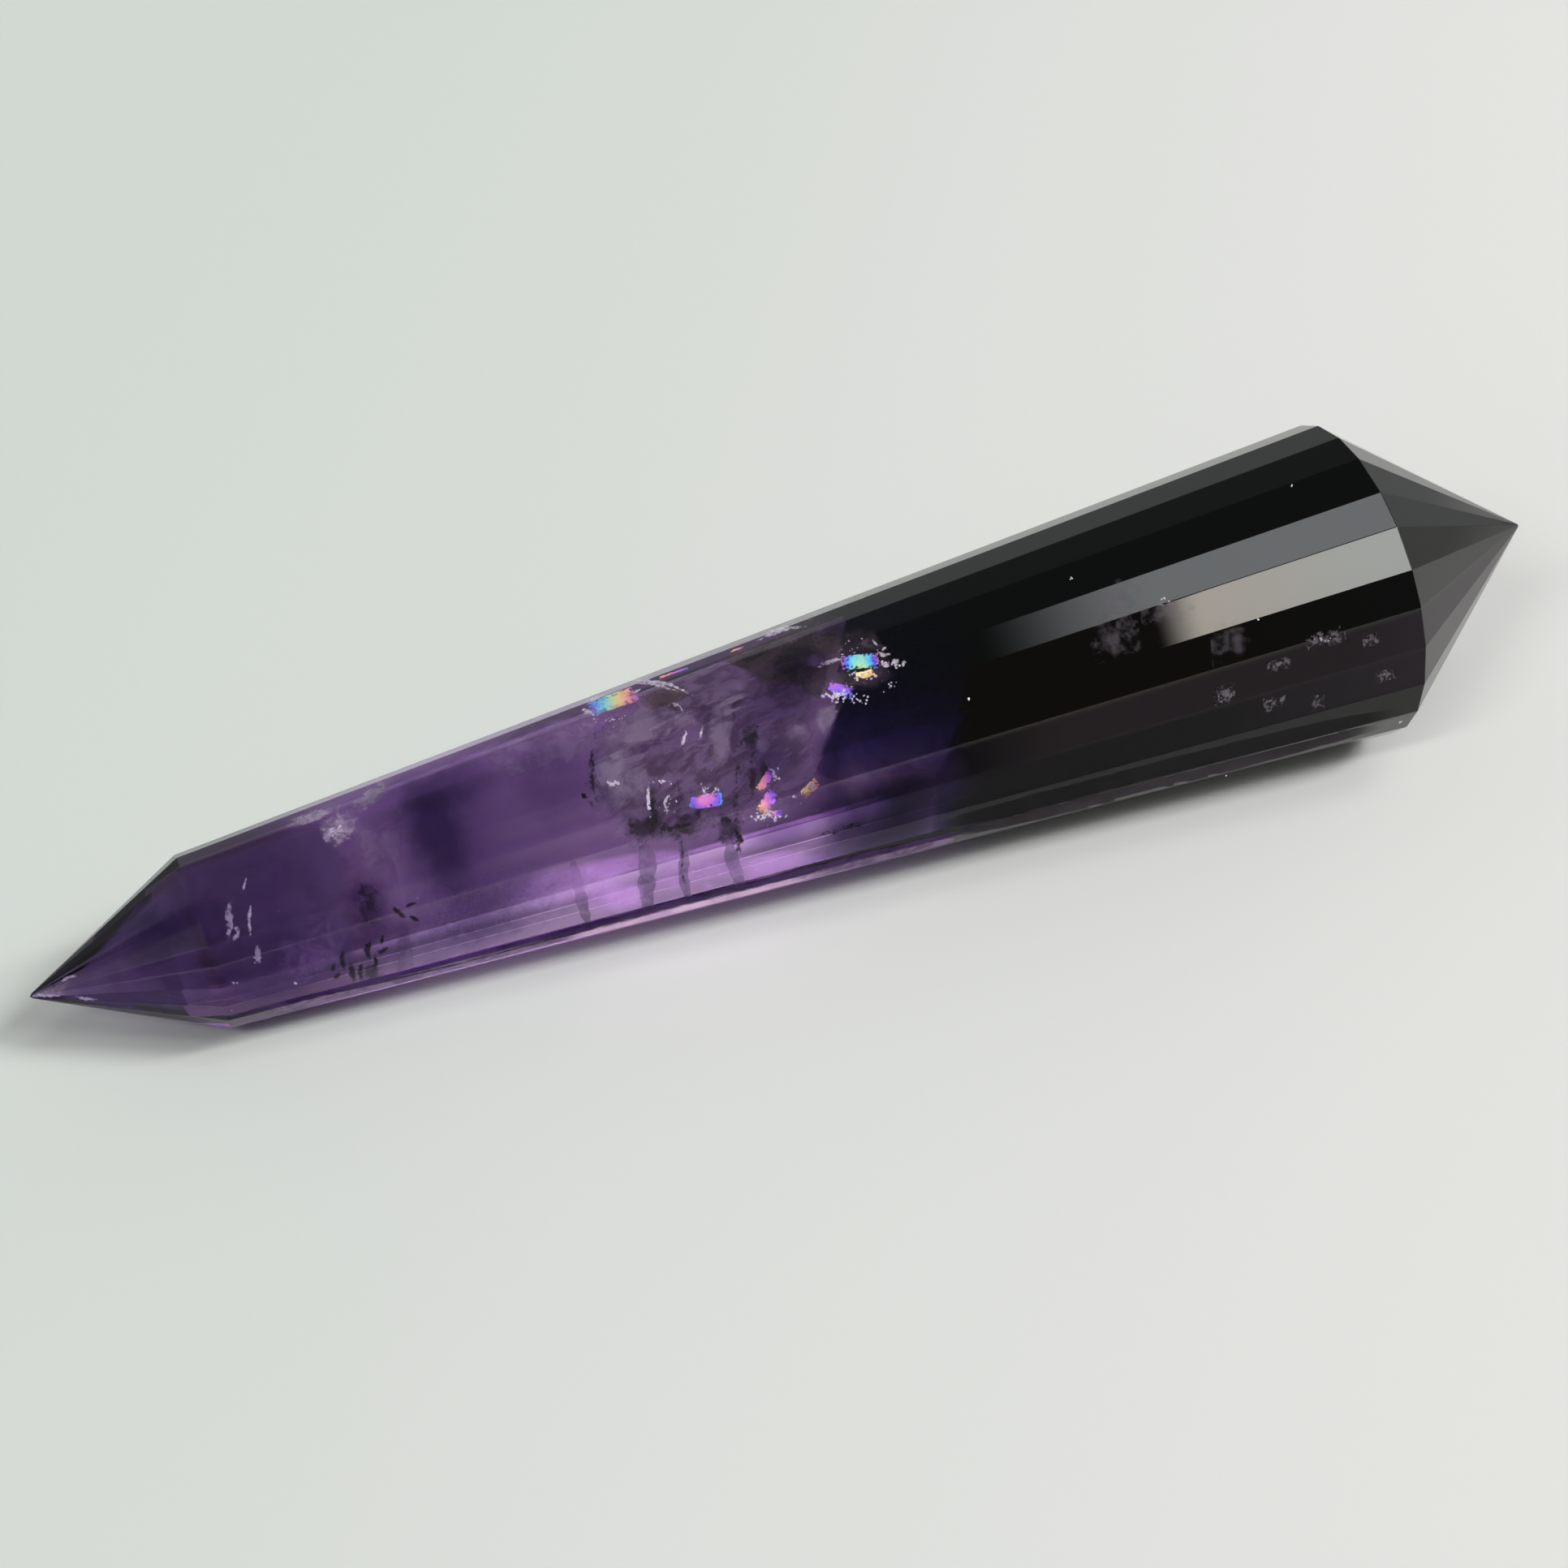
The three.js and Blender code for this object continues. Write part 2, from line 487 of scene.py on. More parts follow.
def far_from(tree, place, pixel, half_sizes):
    """How far a place is from the middle of a cloud just under a pixel, where 1 is the cloud's rim. It is
    measured along the wand, across the line of sight and along it, each in its own half size."""
    _, _, views, _ = look([pixel])
    across = unit(np.cross(AXIS, views[0]))
    turned = Matrix(np.stack((AXIS, across, np.cross(AXIS, across)), axis=1).tolist()).to_euler()
    local = add_node(tree, "Mapping", place, vector_type="TEXTURE", Rotation=turned,
                     Location=tuple(seen_inside([pixel], CLOUD_DEPTH)[0]),
                     Scale=tuple(np.array((*half_sizes, CLOUD_REACH)) * MM))
    return add_node(tree, "VectorMath.LENGTH", local)


# %% Colour of the stone
# Quartz, sawn, ground and polished: clear and lilac where it is thin, with sharp mirrors on every facet.
DRIFT = 1.2 * MM             # how far the noise shifts the borders of colour, each way
material, tree = new_material("polished_amethyst_quartz")
place = add_node(tree, "TexCoord").outputs["Object"]
cloud = add_node(tree, "TexNoise", place, Scale=1 / (4 * MM), Detail=4, Roughness=0.6)
drift = add_node(tree, "VectorMath.MULTIPLY_ADD", cloud.outputs["Color"], (2 * DRIFT,) * 3, place)
uneven = add_node(tree, "VectorMath.ADD", drift, (-DRIFT,) * 3)
along_x, _, up_z = add_node(tree, "SeparateXYZ", uneven).outputs
leaning = add_node(tree, "Math.MULTIPLY_ADD", up_z, 0.5, along_x)
tint = colour_step(tree, cloud, 0.35, 0.70, "fffeff", "f6f1fa")
tint = colour_step(tree, along_x, -26 * MM, -40 * MM, tint, "c6b4d6", "MULTIPLY")
for pixel, half_sizes, code in TINTS:
    tint = colour_step(tree, far_from(tree, uneven, pixel, half_sizes), 1.0, 0.3, tint, code, "MULTIPLY")
tint = colour_step(tree, leaning, 9 * MM, 25 * MM, tint, "020203")
print(len(TINTS), "clouds of colour")

# %% [markdown]
# The steep facets mirror the windows as clean quartz does. The low ones of the dark end mirror the paper far
# less in the photograph, so the shine is tinted facet by facet: a band for each steepness, which is a
# facet's angle round the axis above the level of the camera's side. A rougher polish would dim the mirrors
# too, but it would also blur them.

# %% Shine of the stone
POLISH = 0.012               # roughness
SPARED = (0.71, 0.05, 0.98)  # red, green and blue: a metre absorbs each by DENSITY times one less its value
DENSITY = 50
BAND_EDGE = 1.5              # degrees that one band takes to turn into the next, each way
# Painted reflection: the shine tint dims the mirrors of the low facets, which is painted shade, and tints the
# windows' mirrors warm or cool.
SHINES = (
    # steepness in degrees below which the band holds, its colour towards the narrow end, and the colours that
    # it turns to, each between two places on the frame's X in millimetres
    (52.5, "fff5ea", ((24, 40, "fbfffa"),)),
    (22.5, "686068", ((6, 16, "b6a8b4"), (34, 44, "d4c4d6"))),
    (7.5, "7c7880", ((22, 44, "b8a6ba"),)),
    (-7.5, "080808", ()),
)
from_tip = add_node(tree, "VectorMath.SUBTRACT", place, tuple(narrow_tip))
to_sides = [add_node(tree, "VectorMath.DOT_PRODUCT", from_tip, tuple(side)) for side in (UP, -AWAY)]
steepness = add_node(tree, "Math.ARCTAN2", *to_sides)
shine = "f5fbff"
for degrees, band, changes in SHINES:
    for start, end, code in changes:
        band = colour_step(tree, along_x, start * MM, end * MM, band, code)
    edges = np.radians((degrees + BAND_EDGE, degrees - BAND_EDGE))
    shine = colour_step(tree, steepness, *edges, shine, band)
quartz = add_node(tree, "BsdfPrincipled", Base_Color=tint, Roughness=POLISH, IOR=QUARTZ_IOR,
                  Specular_Tint=shine, Transmission_Weight=1.0)
absorb = add_node(tree, "VolumeAbsorption", Color=(*SPARED, 1), Density=DENSITY)
add_node(tree, "OutputMaterial", quartz, absorb)

# %% The stone
stone = new_mesh_object("amethyst_wand", [closed_body(body_points, narrow_end, wide_end)], material)
vertex_normals = np.concatenate((body_normals.reshape(-1, 3), -AXIS[None], AXIS[None]))
stone.data.normals_split_custom_set_from_vertices(vertex_normals.tolist())
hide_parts("crystal")
place_in_stone(stone)

# %% [markdown]
# ## Zones of deeper colour
# Amethyst grows in layers that hold more or less iron, so its colour sits in zones. Each zone is a closed
# body inside the stone that takes up light but doesn't bend it: its index is 1, because it is quartz in
# quartz. Its edge looks soft, because there is little of it to cross there. The alternative, a texture in
# the volume, would be lost in the exported model.

# %% Shapes of the zones
NARROW_SHOULDER = station(narrow_ring).mean()
WIDE_SHOULDER = station(wide_ring).mean()
STEP_HEIGHT = 2 * MM
ring_width = [np.linalg.norm(ring - ring.mean(axis=0), axis=1).mean() for ring in (narrow_ring, wide_ring)]


def stone_width(stations):
    """Distance from the axis to the surface: straight lines from tip to shoulder to shoulder to tip."""
    return np.interp(stations, (0, NARROW_SHOULDER, WIDE_SHOULDER, length), (0, *ring_width, 0))


def face_through(pixels, deep):
    """A flat growth face through three places inside, as a function that gives its station on the axis from
    the distances up from the axis and away from the camera. It solves three equations of the plane."""
    points = seen_inside(pixels, deep)
    sides = np.stack((np.ones(3), (points - narrow_tip) @ UP, (points - narrow_tip) @ AWAY), axis=1)
    station_0, per_up, per_away = np.linalg.solve(sides, station(points))
    print(f"growth face at {station_0 / MM:.1f} mm, {per_up:.2f} per mm up, {per_away:.2f} per mm away")
    return lambda up, away: station_0 + per_up * up + per_away * away


def stepped_face(station_0, per_up, per_away, edge, step):
    """A growth face in two parts. It leans by per_up and per_away, and below the height of its edge it steps
    back by a smooth step."""
    def face(up, away):
        t = np.clip((edge - up) / STEP_HEIGHT, 0, 1)
        return station_0 + per_up * up + per_away * away + step * t * t * (3 - 2 * t)
    return face


def square_face(station_0):
    """A face square to the axis."""
    return lambda up, away: station_0 + 0 * up


def zone(first_face, last_face, share, waves, cap_rows=12, side_rows=16, columns=64):
    """A zone that fills a share of the stone's width between two faces. Its rings grow from the middle of
    the first face to the rim, go along the sides and shrink to the middle of the last face. Waves of the
    given size run over the faces."""
    grow = np.linspace(0.06, 1, cap_rows)
    size = np.concatenate((grow, np.ones(side_rows), grow[::-1]))[:, None]
    t = np.concatenate((np.zeros(cap_rows), np.linspace(0.01, 0.99, side_rows), np.ones(cap_rows)))[:, None]
    angle = np.linspace(0, 2 * np.pi, columns, endpoint=False)[None, :]
    middle = first_face(0, 0) * (1 - t) + last_face(0, 0) * t
    out = size * share * stone_width(middle) * np.cos(np.pi / FACETS)
    up, away = out * np.sin(angle), out * np.cos(angle)
    wavy = waves * (np.sin(3 * angle + 1) + np.sin(5 * angle + 4 * size)) * size
    along = (1 - t) * first_face(up, away) + t * last_face(up, away) + wavy * np.abs(2 * t - 1)
    fit = stone_width(along) / stone_width(middle)
    rings = narrow_tip + along[..., None] * AXIS + (fit * away)[..., None] * AWAY + (fit * up)[..., None] * UP
    return closed_body(rings, rings[0].mean(axis=0), rings[-1].mean(axis=0))


# %% Quartz of another colour
def coloured_quartz(name, spared, density, tint):
    """Quartz within quartz, grown with more iron: it only takes up light. A metre absorbs red, green and blue
    each by density times one less its value in spared. tint is the hex code of a faint uneven veiling."""
    material, tree = new_material(name)
    place = add_node(tree, "TexCoord").outputs["Object"]
    cloud = add_node(tree, "TexNoise", place, Scale=1 / (3 * MM), Detail=4, Roughness=0.6)
    veiling = colour_step(tree, cloud, 0.40, 0.65, "ffffff", tint)
    quartz = add_node(tree, "BsdfPrincipled", Base_Color=veiling, Roughness=0.0, IOR=1.0,
                      Transmission_Weight=1.0)
    absorb = add_node(tree, "VolumeAbsorption", Color=(*spared, 1), Density=density)
    add_node(tree, "OutputMaterial", quartz, absorb)
    return material


# %% Zones
VIOLET_FACE = ((430, 1050), (466, 1112), (470, 1195))     # pixels on the face where the deep violet stops
violet_face = face_through(VIOLET_FACE, 3 * MM)
smoky_face = stepped_face(station_0=56.4 * MM, per_up=0.2, per_away=0.6, edge=3.8 * MM, step=9 * MM)
# Iron-rich quartz, grown last: the narrow end looks filled with ink.
violet = coloured_quartz("deep_violet_quartz", (0.19, 0.0, 0.20), 108, "e8dcea")
# Quartz so dense in colour that only its first millimetres show, and they look navy.
smoky = coloured_quartz("smoky_violet_quartz", (0.0, 0.0, 0.40), 900, "e0dcea")
violet_body = zone(square_face(2.0 * MM), violet_face, share=0.94, waves=0.3 * MM)
smoky_body = zone(smoky_face, square_face(97 * MM), share=0.90, waves=0.2 * MM)
place_in_stone(new_mesh_object("violet_end_zone", [violet_body], violet))
place_in_stone(new_mesh_object("smoky_end_zone", [smoky_body], smoky))

# %% [markdown]
# ## Films inside the stone
# Once the crystal cracked across, and the crack healed under pressure. What is left are films: veils of tiny
# bubbles, smoky scales, black iron stains and white edges where the light catches. A film could be a thin
# volume, but a sheet with a ragged edge shows what the real one does. Each sheet is laid out in the
# photograph's pixels, four corners or a path, and carried in through the facets to its own depth.

# %% Sheets laid out in pixels
def grid_of(points, rows, columns):
    """Quads that join a grid of points row by row."""
    k = np.arange(rows - 1)[:, None] * columns
    i = np.arange(columns - 1)[None, :]
    quads = np.stack((k + i, k + columns + i, k + columns + i + 1, k + i + 1), axis=-1).reshape(-1, 4)
    return points, quads, NO_FACES


def spread(corners, rows, columns):
    """A grid of points between four corners, given round it, and the two parameters of each point. A point is
    the mean of the corners weighted by its parameters."""
    v, u = np.meshgrid(np.linspace(0, 1, rows), np.linspace(0, 1, columns), indexing="ij")
    weights = np.stack(((1 - u) * (1 - v), u * (1 - v), u * v, (1 - u) * v), axis=-1).reshape(-1, 4)
    return weights @ np.array(corners, float), np.stack((u, v), axis=-1).reshape(-1, 2)


def patch(corners, near, far, rows, columns):
    """A sheet between four pixels, given round it. Its depth goes from near to far down the sheet."""
    pixels, uv = spread(corners, rows, columns)
    points = seen_inside(pixels, near + (far - near) * uv[:, 1])
    return grid_of(points, rows, columns), uv


def ribbon(path, width, deep, chance, count=16, uneven=0.2, across=5):
    """A sheet along a path of pixels. The path is rounded by three turns of the mean of neighbours. The half
    width is half the given one times a half sine wave to the power of 0.4, and uneven by the given share."""
    path = np.array(path, float)
    t = np.linspace(0, 1, count)
    line = np.stack([np.interp(t, np.linspace(0, 1, len(path)), path[:, k]) for k in (0, 1)], axis=1)
    for _ in range(3):
        line[1:-1] = line[:-2] / 4 + line[1:-1] / 2 + line[2:] / 4
    way = unit(np.gradient(line, axis=0))
    aside = np.stack((-way[:, 1], way[:, 0]), axis=1)
    size = width / 2 * np.sin(np.pi * (0.03 + 0.94 * t)) ** 0.4 * (1 + uneven * chance.uniform(-1, 1, count))
    v = np.linspace(0, 1, across)
    pixels = line[None] + (2 * v - 1)[:, None, None] * (size[:, None] * aside)[None]
    points = seen_inside(pixels.reshape(-1, 2), deep)
    uv = np.stack(np.meshgrid(t, v), axis=-1).reshape(-1, 2)
    return grid_of(points, across, count), uv


# %% What a film is made of
BRUSH_RISE = 32              # degrees that the strokes of the veil rise towards the wide end


def inward(tree, points, corner):
    """One in the middle of a sheet and nothing at its border: one less the corner-th root of the sum of both
    parameters' distances from the middle to that power. A corner of 2 is an oval, and more is squarer."""
    powers = []
    for part in add_node(tree, "SeparateXYZ", points.outputs["UV"]).outputs[:2]:
        from_middle = add_node(tree, "Math.ABSOLUTE", add_node(tree, "Math.MULTIPLY_ADD", part, 2.0, -1.0))
        powers.append(add_node(tree, "Math.POWER", from_middle, corner))
    root = add_node(tree, "Math.POWER", add_node(tree, "Math.ADD", *powers), 1 / corner)
    return add_node(tree, "Math.SUBTRACT", 1.0, root)


def film_material(name, codes, density, grain, ragged, fade,
                  corner=6.0, gathered=0.0, brushed=1.0, gloss=0.5):
    """A film in two uneven colours. density is how much it covers, grain the size of its patches in metres,
    fade how far it thins out from its border, and corner how square it is. ragged is how much the patches
    eat into it: the noise is added to the fade, and a smooth step of the sum is its cover. gathered is the
    light that the round stone gathers there, which ordinary light paths find too seldom. brushed is how
    many times longer than wide its patches are, and gloss how much it mirrors, with 0 for matt."""
    material, tree = new_material(name)
    points = add_node(tree, "TexCoord")
    turned = add_node(tree, "Mapping", points.outputs["Object"], vector_type="TEXTURE",
                      Rotation=(0, np.radians(-BRUSH_RISE), 0), Scale=(brushed, 1, 1))
    patches = add_node(tree, "TexNoise", turned, Scale=1 / grain, Detail=5, Roughness=0.65, Distortion=0.5)
    bites = add_node(tree, "Math.MULTIPLY_ADD", patches, 2 * ragged, -ragged)
    both = add_node(tree, "Math.MULTIPLY_ADD", inward(tree, points, corner), 1 / fade, bites)
    cover = add_node(tree, "MapRange", both, 0.0, 1.0, **SMOOTH)
    alpha = add_node(tree, "Math.MULTIPLY", cover, density)
    shade = colour_step(tree, patches, 0.38, 0.62, *codes)
    film = add_node(tree, "BsdfPrincipled", Base_Color=shade, Roughness=0.5, Alpha=alpha,
                    Specular_IOR_Level=gloss, Emission_Color=colour(codes[1]), Emission_Strength=gathered)
    add_node(tree, "OutputMaterial", film)
    return material


def add_films(name, sheets, material):
    """One object from a list of sheets with their UV maps."""
    uv = np.concatenate([uv for _, uv in sheets])
    piece = new_mesh_object(name, [body for body, _ in sheets], material, uv=uv)
    place_in_stone(piece)
    return piece


def add_patches(name, places, material, rows=14, columns=18):
    """One object of patches, each given by four pixels and its depth in millimetres, or by two depths, at its
    top and at its bottom."""
    add_films(name, [patch(corners, depths[0] * MM, depths[-1] * MM, rows, columns)
                     for corners, *depths in places], material)


# %% [markdown]
# ## The healed crack
# The crack itself is a mauve grey veil of bubbles that were drawn out into strokes, with paler hazes
# beside it and white clouds where bubbles crowd. They could be modelled bubble by bubble, but these are
# finer than a pixel, so a film with brushed noise stands for them.

# %% Veils, hazes and clouds
VEILS = (
    # four pixels, and the depth in millimetres, or the depths at the top and at the bottom
    (((720, 880), (930, 822), (925, 1028), (720, 1020)), 3.0, 2.4),
    (((850, 850), (1000, 800), (1014, 985), (880, 1030)), 2.6, 2.4),
    (((740, 935), (900, 890), (880, 1040), (760, 1046)), 2.2, 2.0),
    (((790, 850), (905, 808), (935, 856), (800, 890)), 1.2, 1.4),
)
HAZES = (
    (((596, 912), (745, 866), (742, 950), (606, 980)), 3.0, 2.6),
    (((735, 875), (880, 840), (870, 895), (738, 940)), 1.8),
    (((735, 950), (810, 935), (806, 985), (745, 985)), 1.8),
    (((724, 925), (796, 906), (798, 992), (726, 1000)), 1.4),
    (((728, 932), (770, 922), (776, 980), (730, 990)), 1.2),
    (((870, 850), (905, 840), (900, 950), (872, 960)), 1.9),
    (((1006, 868), (1044, 860), (1018, 912), (1004, 905)), 0.6),
    (((430, 1016), (496, 990), (496, 1076), (440, 1076)), 1.6),
    (((486, 1140), (512, 1130), (512, 1200), (488, 1206)), 1.0),
    (((974, 893), (996, 888), (998, 906), (980, 910)), 1.0),
    (((930, 908), (950, 902), (950, 924), (934, 930)), 1.0),
)
CLOUDS = (
    (((388, 1008), (438, 990), (446, 1034), (400, 1050)), 0.4),
    (((346, 1012), (420, 984), (424, 1002), (352, 1026)), 0.4),
    (((426, 992), (480, 952), (486, 972), (436, 1008)), 0.4),
)
SHOULDER_VEILS = (
    (((960, 768), (1046, 742), (1044, 800), (960, 812)), 0.5),
    (((990, 780), (1068, 764), (1114, 836), (1020, 870)), 1.0),
    (((900, 795), (990, 775), (1000, 850), (905, 830)), 0.9),
)
# Bubbles drawn out into strokes as the crack healed: it greys the view, with a brushed grain.
add_patches("healed_crack_veils", VEILS, film_material(
    "mauve_healing_veil", ("66506f", "a48cb2"), 0.80, 0.9 * MM, 1.3, 0.30, corner=5.0, brushed=3.5))
# Round bubbles, loosely strewn: a thin pale breath over the colour behind.
pale_haze = film_material("pale_bubble_haze", ("a48fb4", "e2d6e8"), 0.46, 1.6 * MM, 1.5, 0.6, corner=3.0)
add_patches("pale_hazes", HAZES, pale_haze)
# Bubbles so close that they scatter all light: small white clouds, with a little painted light of their own.
add_patches("white_bubble_clouds", CLOUDS, film_material(
    "white_bubble_cloud", ("a890b4", "eadfec"), 0.90, 0.7 * MM, 1.4, 0.7, corner=2.5, gathered=0.15))
# Bubbles stained by iron: the brownish veil behind the large flake.
add_patches("brown_mauve_veils", SHOULDER_VEILS, film_material(
    "brown_mauve_veil", ("4a3b48", "85727e"), 0.62, 1.8 * MM, 1.5, 0.4, corner=4.0))

# %% [markdown]
# ## Light that the stone gathers
# A round clear stone gathers the light that falls on it, so its lower front glows lavender, and even the
# deep violet end isn't black. Ordinary light paths find that light too seldom. So these hazes of fine
# bubbles give a little light of their own, which is a stand-in and not what bubbles do.

# %% Lit hazes
GLOWS = (
    (((690, 1064), (860, 1034), (860, 1060), (690, 1100)), 1.6, 1.2),
    (((780, 1070), (930, 1040), (930, 1076), (780, 1120)), 1.2),
    (((696, 1098), (806, 1068), (810, 1118), (706, 1140)), 1.0),
    (((730, 1096), (800, 1080), (802, 1118), (738, 1132)), 0.9),
    (((606, 1083), (790, 1036), (790, 1096), (614, 1142)), 0.8),
    (((880, 1060), (1010, 1034), (1006, 1070), (884, 1098)), 0.7),
    (((908, 1058), (996, 1040), (992, 1072), (910, 1092)), 0.6),
)
MOTTLES = (
    (((476, 1104), (704, 1044), (712, 1142), (486, 1198)), 0.7, 0.6),
    (((330, 1150), (440, 1124), (444, 1200), (340, 1224)), 0.7, 0.6),
)
VIOLET_HAZES = (
    (((66, 1229), (212, 1066), (284, 1252), (70, 1232)), 0.5, 0.7),
    (((200, 1074), (425, 996), (440, 1120), (240, 1170)), 1.4),
    (((240, 1160), (440, 1110), (440, 1200), (290, 1246)), 1.0, 0.8),
)
FADING_VIOLET = (
    (((1060, 945), (1216, 905), (1216, 1001), (1060, 1041)), 0.6),
)
# Painted light: a haze that glows lavender under the front facets, where the stone gathers the light.
add_patches("sunlit_hazes", GLOWS, film_material(
    "painted_glow_lavender_haze", ("c892e0", "e8b4ff"), 0.34, 2.5 * MM, 0.5, 0.6, corner=2.5, gathered=0.45))
# Bubbles in flocks: violet mottling beside the glow, with a little painted light of their own.
add_patches("mottled_hazes", MOTTLES, film_material(
    "mottled_violet_haze", ("70528e", "a282be"), 0.50, 1.3 * MM, 1.4, 0.9, corner=2.5, gathered=0.15))
# Painted light in the deep violet: hazes that glow lift it from black to plum.
add_patches("violet_hazes", VIOLET_HAZES, film_material(
    "painted_light_violet_haze", ("30203e", "4c3a66"), 0.66, 3.0 * MM, 0.7, 0.20, corner=6.0, gathered=0.65))
# The last of the violet before the dark end: painted light makes a dim slope instead of a hard edge.
add_patches("fading_violet_haze", FADING_VIOLET, film_material(
    "painted_light_dim_violet_haze", ("1a1226", "30223e"), 0.85, 3.0 * MM, 0.4, 0.9, corner=2.0, gathered=0.85))

# %% Smoky scales and stains
SCALES = (
    (((884, 815), (960, 788), (950, 814), (926, 828)), 0.8),
    (((900, 812), (1004, 780), (1006, 850), (935, 846)), 0.7),
    (((925, 800), (1010, 768), (1016, 806), (950, 822)), 0.6),
    (((985, 822), (1024, 812), (1014, 866), (986, 856)), 0.7),
)
STAINS = (
    (((768, 1002), (824, 996), (820, 1040), (770, 1042)), 1.7),
    (((818, 1006), (866, 1000), (862, 1034), (812, 1038)), 1.7),
    (((876, 1004), (918, 996), (916, 1040), (878, 1040)), 1.6),
    (((935, 938), (954, 934), (954, 962), (936, 962)), 1.6),
    (((912, 896), (936, 890), (940, 924), (908, 926)), 1.6),
    (((436, 1088), (470, 1086), (472, 1138), (440, 1138)), 1.3),
    (((438, 1186), (474, 1180), (478, 1212), (444, 1216)), 1.2),
)
BROWN_PATCHES = (
    (((992, 786), (1038, 776), (1040, 808), (998, 816)), 0.4),
    (((784, 850), (848, 838), (850, 866), (790, 878)), 0.9),
)
# Unhealed scales of the crack, filled with clay: they hide what is behind them.
add_patches("dark_crack_scales", SCALES, film_material(
    "smoky_crack_scale", ("2e202b", "604a58"), 0.80, 1.4 * MM, 1.1, 0.3, brushed=2.5), 8, 10)
# Iron that seeped in: black blots with soft ends.
add_patches("soft_iron_stains", STAINS, film_material(
    "soft_iron_stain", ("0e0914", "2b2132"), 0.75, 0.9 * MM, 2.2, 0.9, corner=2.5), 8, 10)
# Iron turned to rust: warm brown patches among the mauve.
add_patches("brown_iron_patch", BROWN_PATCHES, film_material(
    "brown_iron_film", ("6d5a58", "8a7672"), 0.60, 1.6 * MM, 1.4, 0.35, corner=3.0), 8, 10)

# %% [markdown]
# ## Channels, fissures and streaks
# Long thin things are ribbons along a path: etched channels that hang down from the veil like drips, black
# cracks round a square of quartz, short dark pits, white streaks and pale ripples. Their ragged density
# breaks them up, as iron stains and bubbles do in the real ones.

# %% Channels and fissures
DRIPS = (
    # pixels from top to bottom, width in pixels and depth in millimetres
    (((704, 1056), (712, 1086), (718, 1116), (727, 1146)), 15, 0.9),
    (((790, 1034), (799, 1060), (796, 1092), (799, 1126)), 24, 0.9),
    (((838, 1030), (844, 1054), (841, 1080), (850, 1114)), 15, 0.9),
    (((898, 1028), (900, 1056), (912, 1086), (909, 1100)), 18, 0.9),
)
FISSURES = (
    (((908, 918), (908, 945), (907, 975), (906, 1016)), 11, 1.3),
    (((927, 912), (926, 950), (926, 998)), 11, 1.3),
    (((906, 924), (918, 910), (932, 914)), 10, 1.3),
    (((934, 894), (928, 908), (924, 924)), 8, 1.3),
    (((907, 994), (905, 1016), (910, 1038), (908, 1060)), 14, 1.3),
    (((714, 972), (723, 986), (740, 998)), 7, 1.6),
    (((806, 956), (802, 985), (808, 1012), (805, 1034)), 12, 1.5),
    (((835, 960), (839, 985), (834, 1010)), 10, 1.5),
    (((806, 1016), (824, 1022), (842, 1015), (866, 1017)), 10, 1.5),
    (((770, 1004), (778, 1020), (782, 1034)), 10, 1.6),
    (((884, 1016), (896, 1006), (902, 1024)), 12, 1.5),
    (((858, 998), (862, 1010)), 7, 1.5),
    (((1010, 1030), (1050, 1018), (1090, 1010)), 8, 1.5),
    (((904, 1020), (912, 1034), (914, 1048)), 9, 0.8),
    (((838, 1030), (842, 1052), (840, 1074), (846, 1096)), 4, 0.8),
    (((734, 900), (728, 960), (738, 1000)), 9, 1.6),
)
chance = np.random.default_rng(24)


def add_ribbons(name, lines, material):
    """One object of ribbons, each given by its path and width in pixels and its depth in millimetres."""
    add_films(name, [ribbon(path, width, deep * MM, chance) for path, width, deep in lines], material)


# Tubes that acid ate into the quartz: paler walls, like hanging drips.
add_ribbons("etched_channels", DRIPS, film_material(
    "etched_channel_wall", ("705c8c", "9a86b0"), 0.62, 0.8 * MM, 0.7, 0.22, corner=8.0))
# Iron in an open crack: a black broken line.
add_ribbons("black_fissures", FISSURES, film_material(
    "black_iron_stain", ("08060c", "1c1424"), 0.95, 0.45 * MM, 2.6, 1.0, corner=2.0))

